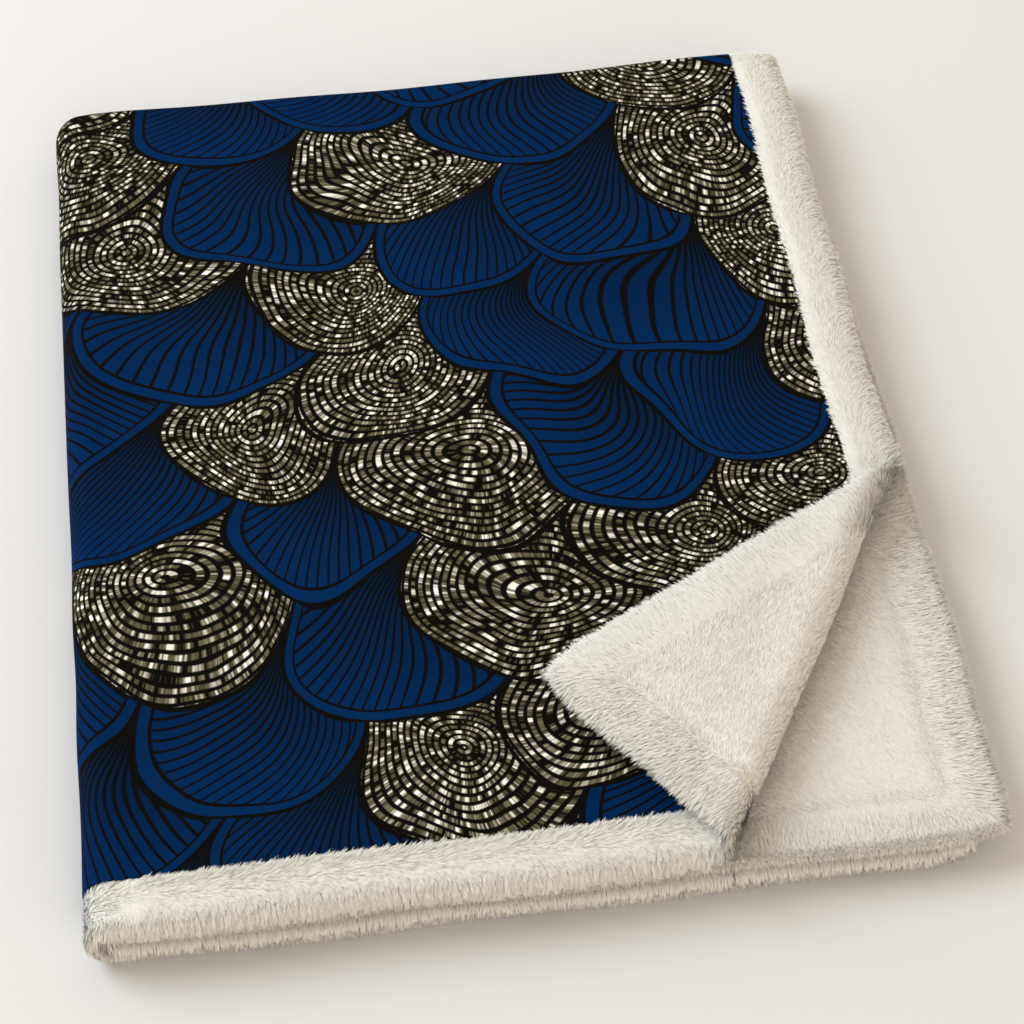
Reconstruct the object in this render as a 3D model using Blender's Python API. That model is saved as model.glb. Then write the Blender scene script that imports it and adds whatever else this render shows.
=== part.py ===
# Baby blanket folded in quarters, with its front right corner turned back.
# A printed cotton front panel lies in a plush backing, whose edge is turned
# over to the front all round as a soft border.
#
# The blanket is laid out flat first: s runs across it, t along it, and w goes
# through it, from the plush face (w < 0) to the printed face (w > 0). One
# function then folds every point of the flat layout: the corner is turned
# back, the cloth is doubled at the back edge, and the pair is doubled again
# at the left edge. In the folded part +X is right, +Y is back and +Z is up,
# with the origin in the middle of the underside.

import math

import bmesh
import bpy

MM = 0.001

# Thickness of the layers
CLOTH = 6.0 * MM            # one layer with its pile
PLUSH = 4.3 * MM            # backing under the panel
PANEL_GAP = 0.5 * MM        # backing to panel
LAYER_GAP = 0.8 * MM        # plush to plush inside a pair
PAIR_GAP = 1.0 * MM         # print to print between the pairs
HALF = CLOTH / 2

# Fold at the back edge, round the plush side
BACK_TURN = (CLOTH + LAYER_GAP) / 2          # radius of the middle of a layer
BACK_ARC = math.pi * BACK_TURN / 2           # flat length of half the turn
PAIR_HALF = BACK_TURN + HALF                 # half the height of a pair

# Fold at the left edge, round the lower layer of the pair
SIDE_TURN = PAIR_HALF + PAIR_GAP / 2
SIDE_ARC = math.pi * SIDE_TURN / 2
STACK_HALF = SIDE_TURN + PAIR_HALF           # half the height of the stack

# Where the folded blanket's edges lie, seen from above, counted from its front
# left corner, and the middle of it, which is the origin of the part
FOLDED_LENGTH = 513.0 * MM                   # front rim to back fold
UPPER_RIGHT = 388.8 * MM                     # right edge of the upper pair
LOWER_RIGHT = 377.0 * MM                     # right edge of the lower pair
FRONT_RIM = 1.5 * MM                         # front edges of all layers
SIDE_SLIP = 2.6 * MM                         # second layer peeps out on the right
SLIP_REACH = 260.0 * MM
SIDE_AXIS = STACK_HALF                       # x of the left fold's axis
BACK_AXIS = FOLDED_LENGTH - PAIR_HALF        # y of the back fold's axis
MIDDLE_X = 196.0 * MM
MIDDLE_Y = 256.0 * MM

# Flat outline of the cloth
S_RIGHT = UPPER_RIGHT - SIDE_AXIS + SIDE_ARC
S_LEFT = -(LOWER_RIGHT - SIDE_AXIS + SIDE_ARC)
T_FRONT = BACK_AXIS - FRONT_RIM + BACK_ARC
T_UNDER = -T_FRONT

# Plush border turned over to the front: distance in from the cloth's edge,
# height of its upper and lower face as a share of half a layer, and share of
# the loft that the uppermost layer's border has
BORDER = 23.5 * MM
LOFT = 2.2 * MM
LOFT_FADE = 14.0 * MM                        # how fast the loft starts after a fold
BORDER_ROWS = [
    {"inset": 0.0 * MM, "upper": 0.35, "lower": -0.35, "loft": 0.0},
    {"inset": 2.0 * MM, "upper": 0.95, "lower": -0.95, "loft": 0.5},
    {"inset": 9.0 * MM, "upper": 1.00, "lower": -1.00, "loft": 1.0},
    {"inset": 20.0 * MM, "upper": 1.00, "lower": -1.00, "loft": 0.8},
]

# Corner that is turned back
TURN_ANGLE = math.radians(59.8)              # fold line against the front edge
TURN_START = 222.4 * MM                      # where the turn starts, across that line
TURN_RADIUS = 6.6 * MM
TURN_ARC = math.pi * TURN_RADIUS
TURN_STEPS = 8
FLAP_STRETCH = 1.12                          # the corner is pulled out a little
FLAP_SLIP = -0.03                            # sideways drift on the way to the tip
# Height of the flap's middle over the layer's middle, by distance past the turn
FLAP_ROWS = [
    {"past": 0.0 * MM, "height": 13.2 * MM},
    {"past": 18.0 * MM, "height": 11.6 * MM},
    {"past": 36.0 * MM, "height": 12.0 * MM},
    {"past": 62.0 * MM, "height": 10.4 * MM},
    {"past": 100.0 * MM, "height": 8.8 * MM},
]

# Layout of the faces
FOLD_STEPS = 8
PITCH_S = 47.0 * MM
PITCH_T = 50.0 * MM
WELD = 0.4 * MM

# Unevenness of the stack: soft swells and dents, as a share of the height
SWELLS = [
    {"x": 95 * MM, "y": 130 * MM, "reach": 90 * MM, "share": 0.030},
    {"x": 250 * MM, "y": 330 * MM, "reach": 110 * MM, "share": 0.035},
    {"x": 90 * MM, "y": 400 * MM, "reach": 80 * MM, "share": -0.030},
    {"x": 330 * MM, "y": 470 * MM, "reach": 70 * MM, "share": 0.025},
    {"x": 180 * MM, "y": 225 * MM, "reach": 70 * MM, "share": -0.025},
]
CORNER_REACH = 12.0 * MM                     # rounding of the corners at the back
CORNER_DROP = 6.5 * MM
CORNER_PULL = 3.5 * MM                       # rounding of the cloth's own corners
BACK_BOW = 4.0 * MM                          # the back fold sags between its ends
BACK_REACH = 160.0 * MM
SIDE_WAVE = 0.9 * MM                         # the right edges wander a little
SIDE_WAVE_LENGTH = 118.0 * MM
SIDE_REACH = 90.0 * MM
FRONT_WAVE = 0.8 * MM                        # and so do the front edges
FRONT_WAVE_LENGTH = 136.0 * MM
FRONT_REACH = 60.0 * MM
WAVE_DRIFT = 95.0                            # radians by metre of height, so layers differ
SHARP_ANGLE = math.radians(50)


def soft_step(value):
    value = min(1.0, max(0.0, value))
    return value * value * (3 - 2 * value)


def read_rows(rows, key, column, value):
    """Smooth value of a column between the rows of a short table."""
    if value <= rows[0][key]:
        return rows[0][column]
    for near, far in zip(rows, rows[1:]):
        if value <= far[key]:
            share = (value - near[key]) / (far[key] - near[key])
            return near[column] + (far[column] - near[column]) * soft_step(share)
    return rows[-1][column]


def edge_distance(s, t):
    return min(s - S_LEFT, S_RIGHT - s, t - T_UNDER, T_FRONT - t)


def across_turn(x, y):
    """Distance across the fold line of the turned corner, towards the corner."""
    return x * math.sin(TURN_ANGLE) - y * math.cos(TURN_ANGLE)


def turn_corner(x, y, w):
    """Turn back what lies past the fold line; w becomes a height."""
    past = across_turn(x, y) - TURN_START
    if past <= 0:
        return x, y, w
    if past < TURN_ARC:
        angle = past / TURN_RADIUS
        reach = (TURN_RADIUS - w) * math.sin(angle)
        height = TURN_RADIUS - (TURN_RADIUS - w) * math.cos(angle)
        slip = 0.0
    else:
        run = (past - TURN_ARC) * FLAP_STRETCH
        reach = -run
        height = read_rows(FLAP_ROWS, "past", "height", run) - w
        slip = FLAP_SLIP * run
    move = reach - past
    x += move * math.sin(TURN_ANGLE) + slip * math.cos(TURN_ANGLE)
    y += -move * math.cos(TURN_ANGLE) + slip * math.sin(TURN_ANGLE)
    return x, y, height


def settle(x, y, z):
    """Add the stack's small unevenness, keep its underside flat, and count from the middle."""
    swell = 1.0
    for row in SWELLS:
        span = ((x - row["x"]) ** 2 + (y - row["y"]) ** 2) / row["reach"] ** 2
        swell += row["share"] * math.exp(-span)
    near_back = soft_step(1 - (BACK_AXIS - y) / BACK_REACH)
    near_right = soft_step(1 - (LOWER_RIGHT - x) / SIDE_REACH)
    near_front = soft_step(1 - y / FRONT_REACH)
    bow = math.sin(math.pi * min(1.0, max(0.0, x / UPPER_RIGHT)))
    y -= BACK_BOW * bow * near_back
    corner = max(0.0, min(x, UPPER_RIGHT - x))
    y -= CORNER_DROP * math.exp(-corner / CORNER_REACH) * near_back
    drift = WAVE_DRIFT * z
    side = SIDE_WAVE * math.sin(2 * math.pi * y / SIDE_WAVE_LENGTH + drift)
    front = FRONT_WAVE * math.sin(2 * math.pi * x / FRONT_WAVE_LENGTH + drift)
    return x + side * near_right - MIDDLE_X, y + front * near_front - MIDDLE_Y, z * swell


def slip_share(t):
    return math.copysign(soft_step(abs(t) / SLIP_REACH), t)


def round_corner(s, t):
    """Pull the cloth's four corners in a little, so that they are round."""
    s_inset = min(s - S_LEFT, S_RIGHT - s)
    t_inset = min(t - T_UNDER, T_FRONT - t)
    share = max(0.0, 1 - s_inset / BORDER) * max(0.0, 1 - t_inset / BORDER)
    pull = CORNER_PULL * share
    return s - math.copysign(pull, s), t - math.copysign(pull, t)


def fold(s, t, w):
    """Place of a point of the flat layout in the folded blanket."""
    s, t = round_corner(s, t)
    s -= SIDE_SLIP * slip_share(t) * soft_step(s / S_RIGHT)
    if s > SIDE_ARC and t > BACK_ARC:
        x = SIDE_AXIS + s - SIDE_ARC
        y = BACK_AXIS - t + BACK_ARC
        x, y, height = turn_corner(x, y, w)
        return settle(x, y, STACK_HALF + SIDE_TURN + BACK_TURN + height)
    if abs(t) > BACK_ARC:
        y = BACK_AXIS - abs(t) + BACK_ARC
        rise = math.copysign(BACK_TURN + w, t)
    else:
        angle = t / BACK_TURN
        y = BACK_AXIS + (BACK_TURN + w) * math.cos(angle)
        rise = (BACK_TURN + w) * math.sin(angle)
    if abs(s) > SIDE_ARC:
        x = SIDE_AXIS + abs(s) - SIDE_ARC
        z = math.copysign(SIDE_TURN + rise, s)
    else:
        angle = s / SIDE_TURN
        x = SIDE_AXIS - (SIDE_TURN + rise) * math.cos(angle)
        z = (SIDE_TURN + rise) * math.sin(angle)
    return settle(x, y, STACK_HALF + z)


def even_steps(start, end, pitch):
    count = max(1, round((end - start) / pitch))
    return [start + (end - start) * step / count for step in range(count + 1)]


def layout_lines(low, high, arc, pitch):
    """Grid lines of one direction: borders, folds and even runs between."""
    insets = [row["inset"] for row in BORDER_ROWS] + [BORDER]
    lines = [low + inset for inset in insets]
    lines += even_steps(low + BORDER, -arc, pitch)
    lines += even_steps(-arc, arc, 2 * arc / FOLD_STEPS)
    lines += even_steps(arc, high - BORDER, pitch)
    lines += [high - inset for inset in reversed(insets)]
    kept = []
    for line in sorted(lines):
        if not kept or line - kept[-1] > WELD:
            kept.append(line)
    return kept


def flat_layout():
    """Triangles of the flat cloth, shared by the backing and the panel."""
    layout = bmesh.new()
    columns = layout_lines(S_LEFT, S_RIGHT, SIDE_ARC, PITCH_S)
    rows = layout_lines(T_UNDER, T_FRONT, BACK_ARC, PITCH_T)
    grid = [[layout.verts.new((s, t, 0)) for t in rows] for s in columns]
    for left, right in zip(grid, grid[1:]):
        for step in range(len(rows) - 1):
            layout.faces.new((left[step], right[step], right[step + 1], left[step + 1]))
    cut_corner(layout)
    bmesh.ops.triangulate(layout, faces=layout.faces[:])
    return layout


def cut_corner(layout):
    """Cut the layout along the steps of the turned corner."""
    s_axis = SIDE_AXIS - SIDE_ARC
    t_axis = BACK_AXIS + BACK_ARC
    starts = [TURN_ARC * step / TURN_STEPS for step in range(TURN_STEPS + 1)]
    starts += [TURN_ARC + row["past"] / FLAP_STRETCH for row in FLAP_ROWS[1:-1]]
    sine = math.sin(TURN_ANGLE)
    cosine = math.cos(TURN_ANGLE)
    for start in starts:
        across = TURN_START + start
        near = [
            face for face in layout.faces
            if face.calc_center_median().x > SIDE_ARC and face.calc_center_median().y > BACK_ARC
        ]
        parts = set(near)
        for face in near:
            parts.update(face.edges)
            parts.update(face.verts)
        # x = s + s_axis and y = t_axis - t put the fold line into the layout,
        # with the sideways slip of the upper layer taken out
        start_s = SIDE_SLIP - s_axis + (across + t_axis * cosine) / sine
        bmesh.ops.bisect_plane(
            layout, geom=list(parts), plane_co=(start_s, 0, 0), plane_no=(sine, cosine, 0)
        )
    bmesh.ops.remove_doubles(layout, verts=layout.verts[:], dist=WELD)


def loft_share(s, t):
    """Only the border that lies uppermost stands up over the print."""
    return soft_step((s - SIDE_ARC) / LOFT_FADE) * soft_step((t - BACK_ARC) / LOFT_FADE)


def backing_levels(s, t):
    inset = edge_distance(s, t)
    if inset > BORDER - WELD:
        return -HALF, PLUSH - HALF
    upper = read_rows(BORDER_ROWS, "inset", "upper", inset) * HALF
    lower = read_rows(BORDER_ROWS, "inset", "lower", inset) * HALF
    loft = read_rows(BORDER_ROWS, "inset", "loft", inset) * LOFT * loft_share(s, t)
    return lower, upper + loft


def panel_levels(s, t):
    return PLUSH + PANEL_GAP - HALF, HALF


def make_material(name, colour, roughness):
    material = bpy.data.materials.new(name)
    material.use_nodes = True
    shader = material.node_tree.nodes["Principled BSDF"]
    shader.inputs["Base Color"].default_value = (*colour, 1)
    shader.inputs["Roughness"].default_value = roughness
    shader.inputs["Metallic"].default_value = 0
    return material


def make_sheet(name, layout, faces, levels, material):
    """Closed sheet over some faces of the layout, between two levels."""
    solid = bmesh.new()
    lower = {}
    upper = {}
    for face in faces:
        for vert in face.verts:
            if vert not in lower:
                s, t = vert.co.x, vert.co.y
                low, high = levels(s, t)
                lower[vert] = solid.verts.new(fold(s, t, low))
                upper[vert] = solid.verts.new(fold(s, t, high))
    chosen = set(faces)
    for face in faces:
        solid.faces.new([upper[vert] for vert in face.verts])
        solid.faces.new([lower[vert] for vert in reversed(face.verts)])
        for loop in face.loops:
            others = [other for other in loop.edge.link_faces if other is not face]
            if any(other in chosen for other in others):
                continue
            first, last = loop.vert, loop.link_loop_next.vert
            solid.faces.new((lower[first], lower[last], upper[last], upper[first]))
    bmesh.ops.triangulate(solid, faces=solid.faces[:])
    bmesh.ops.recalc_face_normals(solid, faces=solid.faces[:])
    mesh = bpy.data.meshes.new(name)
    solid.to_mesh(mesh)
    solid.free()
    mesh.shade_smooth()
    mesh.set_sharp_from_angle(angle=SHARP_ANGLE)
    mesh.materials.append(material)
    sheet = bpy.data.objects.new(name, mesh)
    bpy.context.collection.objects.link(sheet)


def build():
    for item in list(bpy.data.objects):
        bpy.data.objects.remove(item, do_unlink=True)
    layout = flat_layout()
    plush = make_material("cream_plush", (0.78, 0.74, 0.66), 0.95)
    print_cloth = make_material("printed_cotton", (0.01, 0.05, 0.18), 0.8)
    panel_faces = []
    for face in layout.faces:
        middle = face.calc_center_median()
        if edge_distance(middle.x, middle.y) > BORDER:
            panel_faces.append(face)
    make_sheet("backing", layout, layout.faces[:], backing_levels, plush)
    make_sheet("front_panel", layout, panel_faces, panel_levels, print_cloth)
    layout.free()


build()
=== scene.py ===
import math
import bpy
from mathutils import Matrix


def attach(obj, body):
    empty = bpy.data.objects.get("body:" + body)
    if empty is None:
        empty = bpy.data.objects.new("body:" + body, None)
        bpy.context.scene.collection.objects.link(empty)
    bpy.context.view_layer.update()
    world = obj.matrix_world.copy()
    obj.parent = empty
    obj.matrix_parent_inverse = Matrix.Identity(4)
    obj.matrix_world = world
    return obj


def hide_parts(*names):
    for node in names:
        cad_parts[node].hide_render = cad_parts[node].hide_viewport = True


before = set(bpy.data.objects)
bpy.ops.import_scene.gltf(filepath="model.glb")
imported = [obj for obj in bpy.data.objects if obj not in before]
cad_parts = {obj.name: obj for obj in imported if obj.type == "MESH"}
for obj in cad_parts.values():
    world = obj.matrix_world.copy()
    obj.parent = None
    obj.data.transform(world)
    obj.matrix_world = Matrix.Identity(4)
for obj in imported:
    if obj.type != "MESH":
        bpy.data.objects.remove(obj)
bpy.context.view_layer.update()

# Looks of a baby blanket, folded in quarters with one corner turned back:
# a printed cotton front in a plush backing, whose edge is turned over as a border.
# The cloth is laid out flat as s (across) and t (along), and w goes through it from
# the plush face to the printed face. One function folds it, as it folds the solids.

from types import SimpleNamespace

import bmesh
import bpy
import numpy as np
from mathutils import Matrix, Vector

mm = 0.001

# What is shared by every layer of the folded cloth
cloth = {
    "layer": 6.0 * mm,            # one layer with its pile
    "plush": 4.3 * mm,            # backing under the panel
    "layerGap": 0.8 * mm,         # plush to plush inside a pair
    "pairGap": 1.0 * mm,          # print to print between the pairs
    "length": 513.0 * mm,         # front rim to back fold
    "upperRight": 388.8 * mm,     # right edge of the upper pair
    "lowerRight": 377.0 * mm,     # right edge of the lower pair
    "frontRim": 1.5 * mm,
    "sideSlip": 2.6 * mm,         # the second layer peeps out on the right
    "slipReach": 260.0 * mm,
    "middleX": 196.0 * mm,
    "middleY": 256.0 * mm,
    "border": 23.5 * mm,          # plush turned over to the front
    "loft": 2.2 * mm,             # how far the uppermost border stands over the print
    "loftFade": 14.0 * mm,
    "cornerPull": 3.5 * mm,       # rounds the cloth's own corners
}

# The corner that is turned back
turn = {
    "angle": math.radians(59.8),  # fold line against the front edge
    "start": 222.4 * mm,
    "radius": 6.6 * mm,
    "stretch": 1.125,
    "slip": -0.05,
    "steps": 18,
    "rows": [                     # height of the flap's middle, by distance past the turn
        {"past": 0.0 * mm, "height": 13.2 * mm},
        {"past": 18.0 * mm, "height": 11.6 * mm},
        {"past": 36.0 * mm, "height": 12.0 * mm},
        {"past": 62.0 * mm, "height": 10.4 * mm},
        {"past": 100.0 * mm, "height": 8.8 * mm},
    ],
}

# Small unevenness of the whole stack
settling = {
    "swells": [
        {"x": 95 * mm, "y": 130 * mm, "reach": 90 * mm, "share": 0.030},
        {"x": 250 * mm, "y": 330 * mm, "reach": 110 * mm, "share": 0.035},
        {"x": 90 * mm, "y": 400 * mm, "reach": 80 * mm, "share": -0.030},
        {"x": 330 * mm, "y": 470 * mm, "reach": 70 * mm, "share": 0.025},
        {"x": 180 * mm, "y": 225 * mm, "reach": 70 * mm, "share": -0.025},
    ],
    "cornerReach": 12.0 * mm,
    "cornerDrop": 6.5 * mm,
    "bow": 4.0 * mm,              # the back fold sags between its ends
    "backReach": 160.0 * mm,
    "sideWave": 0.9 * mm,
    "sideWaveLength": 118.0 * mm,
    "sideReach": 90.0 * mm,
    "frontWave": 0.8 * mm,
    "frontWaveLength": 136.0 * mm,
    "frontReach": 60.0 * mm,
    "drift": 95.0,                # radians by metre of height, so the layers differ
    "floorGap": 0.15 * mm,        # nothing lies lower
}

half = cloth["layer"] / 2
backTurn = (cloth["layer"] + cloth["layerGap"]) / 2      # radius of the fold at the back
backArc = math.pi * backTurn / 2
pairHalf = backTurn + half
sideTurn = pairHalf + cloth["pairGap"] / 2               # radius of the fold on the left
sideArc = math.pi * sideTurn / 2
stackHalf = sideTurn + pairHalf
sideAxis = stackHalf
backAxis = cloth["length"] - pairHalf
sRight = cloth["upperRight"] - sideAxis + sideArc
sLeft = -(cloth["lowerRight"] - sideAxis + sideArc)
tFront = backAxis - cloth["frontRim"] + backArc
tUnder = -tFront
turnArc = math.pi * turn["radius"]
turnSine, turnCosine = math.sin(turn["angle"]), math.cos(turn["angle"])


def softStep(value):
    value = np.clip(value, 0, 1)
    return value * value * (3 - 2 * value)


def blend(low, high, share):
    return low + (high - low) * share


def readRows(rows, key, column, value):
    result = np.full_like(value, rows[0][column])
    for near, far in zip(rows, rows[1:]):
        share = softStep((value - near[key]) / (far[key] - near[key]))
        result = np.where(value > near[key], blend(near[column], far[column], share), result)
    return result


def edgeInsets(s, t):
    return np.minimum(s - sLeft, sRight - s), np.minimum(t - tUnder, tFront - t)


def edgeDistance(s, t):
    return np.minimum(*edgeInsets(s, t))


def acrossTurn(x, y):
    return x * turnSine - y * turnCosine


def turnCorner(x, y, w):
    past = acrossTurn(x, y) - turn["start"]
    rolled = np.clip(past, 0, turnArc) / turn["radius"]
    run = np.maximum(past - turnArc, 0) * turn["stretch"]
    onRoll = past < turnArc
    reach = np.where(onRoll, (turn["radius"] - w) * np.sin(rolled), -run)
    flat = readRows(turn["rows"], "past", "height", run) - w
    height = np.where(onRoll, turn["radius"] - (turn["radius"] - w) * np.cos(rolled), flat)
    slip = turn["slip"] * run
    move = reach - past
    turned = past > 0
    return (
        np.where(turned, x + move * turnSine + slip * turnCosine, x),
        np.where(turned, y - move * turnCosine + slip * turnSine, y),
        np.where(turned, height, w),
    )


def settle(x, y, z):
    swell = np.ones_like(x)
    for row in settling["swells"]:
        span = ((x - row["x"]) ** 2 + (y - row["y"]) ** 2) / row["reach"] ** 2
        swell = swell + row["share"] * np.exp(-span)
    nearBack = softStep(1 - (backAxis - y) / settling["backReach"])
    nearRight = softStep(1 - (cloth["lowerRight"] - x) / settling["sideReach"])
    nearFront = softStep(1 - y / settling["frontReach"])
    bow = np.sin(np.pi * np.clip(x / cloth["upperRight"], 0, 1))
    corner = np.maximum(0, np.minimum(x, cloth["upperRight"] - x))
    y = y - settling["bow"] * bow * nearBack
    y = y - settling["cornerDrop"] * np.exp(-corner / settling["cornerReach"]) * nearBack
    drift = settling["drift"] * z
    side = settling["sideWave"] * np.sin(2 * np.pi * y / settling["sideWaveLength"] + drift)
    front = settling["frontWave"] * np.sin(2 * np.pi * x / settling["frontWaveLength"] + drift)
    placed = (x + side * nearRight - cloth["middleX"], y + front * nearFront - cloth["middleY"])
    return np.stack([*placed, z * swell], axis=-1)


# Where a point lies seen from above, before the corner is turned
def flatPlace(s, t):
    sInset, tInset = edgeInsets(s, t)
    pull = np.maximum(0, 1 - sInset / cloth["border"]) * np.maximum(0, 1 - tInset / cloth["border"])
    s = s - np.copysign(cloth["cornerPull"] * pull, s)
    t = t - np.copysign(cloth["cornerPull"] * pull, t)
    slip = np.copysign(softStep(np.abs(t) / cloth["slipReach"]), t)
    return s - cloth["sideSlip"] * slip * softStep(s / sRight), t


def foldCloth(s, t, w):
    s, t = flatPlace(s, t)
    backAngle = np.clip(t, -backArc, backArc) / backTurn
    y = backAxis + (backTurn + w) * np.cos(backAngle) - np.maximum(np.abs(t) - backArc, 0)
    rise = (backTurn + w) * np.sin(backAngle)
    sideAngle = np.clip(s, -sideArc, sideArc) / sideTurn
    x = sideAxis - (sideTurn + rise) * np.cos(sideAngle) + np.maximum(np.abs(s) - sideArc, 0)
    z = (sideTurn + rise) * np.sin(sideAngle)
    turnedX, turnedY, height = turnCorner(x, y, w)
    uppermost = (s > sideArc) & (t > backArc)
    x = np.where(uppermost, turnedX, x)
    y = np.where(uppermost, turnedY, y)
    z = np.where(uppermost, sideTurn + backTurn + height, z)
    return settle(x, y, stackHalf + z)


# Flat layout of the cloth: the same grid for every sheet, finer where it shows
layout = {
    "pitch": 6.0 * mm,
    "hiddenPitch": 20.0 * mm,
    "foldSteps": 18,
    "weld": 0.35 * mm,
    "panelInsets": [0.0, 2.0, 5.0, 10.0, 16.0],                      # mm inside the panel's edge
    "coreInsets": [
        0.0, 0.5, 1.6, 3.9, 7.4, 11.0, 14.5, 18.4, 20.9, 21.9, 22.6, 23.6, 25.2, 28.0, 32.0,
    ],
}


def evenSteps(start, end, pitch):
    count = max(1, round((end - start) / pitch))
    return [start + (end - start) * step / count for step in range(count + 1)]


# Grid lines of one direction: insets from both edges, the fold, even runs between
def layoutLines(low, high, arc, insets, lowPitch):
    lines = [low + inset * mm for inset in insets]
    lines += evenSteps(lines[-1], -arc, lowPitch)
    lines += evenSteps(-arc, arc, 2 * arc / layout["foldSteps"])
    lines += evenSteps(arc, high - insets[-1] * mm, layout["pitch"])
    lines += [high - inset * mm for inset in reversed(insets)]
    kept = []
    for line in sorted(lines):
        if not kept or line - kept[-1] > layout["weld"]:
            kept.append(line)
    return kept


# Flat points and faces of a sheet whose edge lies some way inside the cloth's edge
def flatGrid(inset, insets):
    columns = layoutLines(sLeft + inset, sRight - inset, sideArc, insets, layout["hiddenPitch"])
    rows = layoutLines(tUnder + inset, tFront - inset, backArc, insets, layout["pitch"])
    grid = bmesh.new()
    points = [[grid.verts.new((s, t, 0)) for t in rows] for s in columns]
    for left, right in zip(points, points[1:]):
        for step in range(len(rows) - 1):
            grid.faces.new((left[step], right[step], right[step + 1], left[step + 1]))
    for step in range(turn["steps"] + 1):      # lines along the turn, so that it is round
        across = turn["start"] + turnArc * step / turn["steps"]
        startS = cloth["sideSlip"] - sideAxis + sideArc
        startS += (across + (backAxis + backArc) * turnCosine) / turnSine
        near = set()
        for face in grid.faces:
            middle = face.calc_center_median()
            if middle.x > sideArc and middle.y > backArc:
                near.update([face, *face.edges, *face.verts])
        bmesh.ops.bisect_plane(
            grid, geom=list(near), plane_co=(startS, 0, 0), plane_no=(turnSine, turnCosine, 0)
        )
    bmesh.ops.remove_doubles(grid, verts=grid.verts[:], dist=layout["weld"])
    wide = [face for face in grid.faces if len(face.verts) > 4]
    bmesh.ops.triangulate(grid, faces=wide)
    grid.verts.index_update()
    flat = np.array([vert.co[:2] for vert in grid.verts])
    faces = [tuple(vert.index for vert in face.verts) for face in grid.faces]
    grid.free()
    return flat, faces


# Flat place in the print, with the longer way round the outside of the folds
def printPlace(s, t):
    sideMore = (sideTurn + pairHalf) / sideTurn - 1
    backMore = pairHalf / backTurn - 1
    u = s + sideMore * np.clip(s, -sideArc, sideArc)
    v = t + backMore * np.clip(t, -backArc, backArc)
    return np.stack([u, v], axis=-1)


# A closed thin sheet between two levels of the cloth
def closedSheet(name, flat, faces, low, high, material):
    s, t = flat[:, 0], flat[:, 1]
    upper, lower = foldCloth(s, t, high), foldCloth(s, t, low)
    count = len(flat)
    edges = {(a, b) for face in faces for a, b in zip(face, face[1:] + face[:1])}
    walls = [(a, b, b + count, a + count) for a, b in edges if (b, a) not in edges]
    walls.sort()
    allFaces = [face[::-1] for face in faces]
    allFaces += [tuple(vert + count for vert in face) for face in faces]
    allFaces += walls
    mesh = bpy.data.meshes.new(name)
    points = np.concatenate([upper, lower])
    points[:, 2] = np.maximum(points[:, 2], settling["floorGap"])
    mesh.from_pydata(points.tolist(), [], allFaces)
    mesh.shade_smooth()
    mesh.materials.append(material)
    place = np.tile(printPlace(s, t), (2, 1))
    corners = np.zeros(len(mesh.loops), dtype=np.int32)
    mesh.loops.foreach_get("vertex_index", corners)
    clothMap = mesh.uv_layers.new(name="clothMap")
    clothMap.data.foreach_set("uv", place[corners].ravel())
    piece = bpy.data.objects.new(name, mesh)
    bpy.context.collection.objects.link(piece)
    return piece


# An sRGB hex colour as linear red, green, blue and alpha
def linear(hexColour):
    parts = [int(hexColour[place:place + 2], 16) / 255 for place in (1, 3, 5)]
    return (*[c / 12.92 if c <= 0.04045 else ((c + 0.055) / 1.055) ** 2.4 for c in parts], 1)


# Adds a node, and sets or links its inputs by name or number
def addNode(tree, kind, values=None, **settings):
    node = tree.nodes.new(kind)
    for name, value in settings.items():
        setattr(node, name, value)
    for name, value in (values or {}).items():
        if isinstance(value, bpy.types.NodeSocket):
            tree.links.new(value, node.inputs[name])
        else:
            node.inputs[name].default_value = value
    return node


# Adds one maths node for each step: its name, what is done, and to which values
def addSteps(tree, kind, known, steps):
    for name, operation, *used in steps:
        values = {spot: known.get(value, value) for spot, value in enumerate(used)}
        known[name] = addNode(tree, kind, values, operation=operation).outputs[0]


def mapRange(tree, value, span, target=(0, 1)):
    ends = {"From Min": span[0], "From Max": span[1], "To Min": target[0], "To Max": target[1]}
    return addNode(tree, "ShaderNodeMapRange", {"Value": value, **ends}).outputs[0]


def mixColour(tree, share, low, high):
    return addNode(tree, "ShaderNodeMix", {0: share, 6: low, 7: high}, data_type="RGBA").outputs[2]


def bumpNormal(tree, height, strength, distance):
    values = {"Height": height, "Strength": strength, "Distance": distance}
    return addNode(tree, "ShaderNodeBump", values).outputs[0]


def newMaterial(name):
    material = bpy.data.materials.new(name)
    material.use_nodes = True
    material.node_tree.nodes.clear()
    return material, material.node_tree


# Printed cotton: a plain-woven cloth with a reactive print, which lies matt and flat.
# Its design is the common scallop: ribbed blue ones among ones with rings of cream dashes.
scallopPrint = {
    "radius": 52.0 * mm,
    "turned": math.radians(-24),
    "shift": (0.3, 0.4, 0.0),
    "warp": 19.0 * mm,            # how far the scallops wander from their rows
    "warpScale": 8.6,             # by metre
    "ripple": 3.2 * mm,           # how far a hatched scallop's rings wander
    "rippleScale": 30.0,
    "hatchShare": 0.52,
    "ribs": 13.0,                 # by radian
    "ribWidth": 1.45 * mm,
    "swirl": 1.3,
    "bandStart": 0.88,            # plain band along a blue scallop's rim, as a share of its radius
    "ringPitch": 3.6 * mm,
    "ringWidth": 1.7 * mm,
    "dashLength": 3.4 * mm,
    "dashShift": 0.16,            # how far the dashes step from ring to ring
    "dashRange": (0.41, 0.66),    # of the noise, from dark gap to bright dash
    "outline": 1.2 * mm,
    "blue": "#001737",
    "blueLight": "#002753",
    "ink": "#0B0A07",
    "cream": "#FFFCF2",
    "olive": "#6A644C",
    "thread": 0.8 * mm,           # drawn at twice its size, so that it shows
}


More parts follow.
